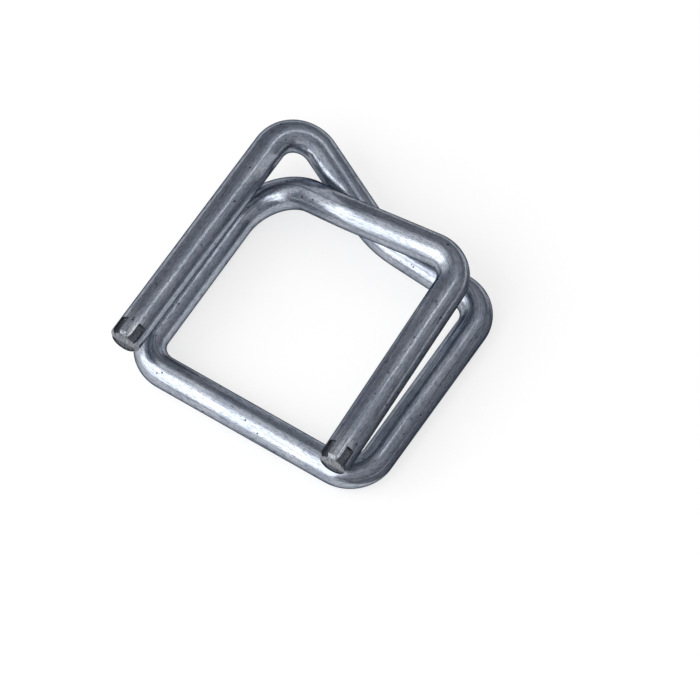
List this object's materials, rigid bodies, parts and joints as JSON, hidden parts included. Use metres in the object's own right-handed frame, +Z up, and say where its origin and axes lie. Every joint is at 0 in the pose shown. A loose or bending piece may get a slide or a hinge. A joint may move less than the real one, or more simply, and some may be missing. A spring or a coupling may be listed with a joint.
{
  "type": "strapping buckle",
  "caption": "Bent-wire strapping buckle: a flat wire frame with two open prongs over its crossbars, which hold the looped ends of a strap under tension.",
  "frame": {"origin": "centre of the buckle's box, on the plane the frame lies on", "axes": "+X along the strap toward the right crossbar, +Y along the bars toward the hook, +Z up from the frame to the prongs"},
  "size_m": [0.0317, 0.0338, 0.0087],
  "materials": {
    "galvanised_wire": "bright zinc-galvanised, drawn lines along the wire"
  },
  "bodies": {
    "root": {"buckle_wire": "galvanised_wire"}
  },
  "joints": []
}
